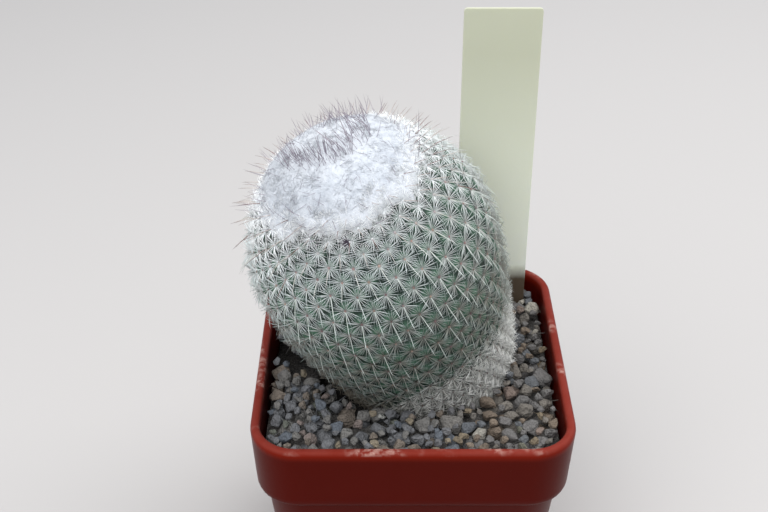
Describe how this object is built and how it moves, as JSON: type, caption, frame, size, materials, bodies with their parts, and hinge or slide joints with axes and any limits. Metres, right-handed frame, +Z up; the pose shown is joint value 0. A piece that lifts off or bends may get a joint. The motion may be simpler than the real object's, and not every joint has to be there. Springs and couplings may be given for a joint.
{
  "type": "potted epithelantha unguispina cactus",
  "caption": "Leaning club-shaped cactus with spiral tubercles, claw spines and a woolly crown, in a square plastic pot with stone top dressing and a blank label.",
  "frame": {"origin": "centre of the pot's underside, on the surface that it stands on", "axes": "+Z up, out of the pot; -Y towards the front, where the stem leans over the rim to the left; +X to the right, towards the label"},
  "size_m": [0.0587, 0.055, 0.1065],
  "materials": {
    "pot_plastic": "moulded terracotta-red polypropylene, satin",
    "potting_mix": "loose peat and grit mix",
    "stone_dressing": "angular grey grit, 2 to 4 mm, dry",
    "stem_skin": "green waxy skin under flat white radial spines",
    "crown_wool": "dense white plant wool with thin dark spines",
    "label_plastic": "pale translucent sheet plastic, matte"
  },
  "bodies": {
    "root": {"pot": "pot_plastic", "soil": "potting_mix", "gravel": "stone_dressing", "stem": "stem_skin", "crown_wool": "crown_wool", "label": "label_plastic"}
  },
  "joints": []
}
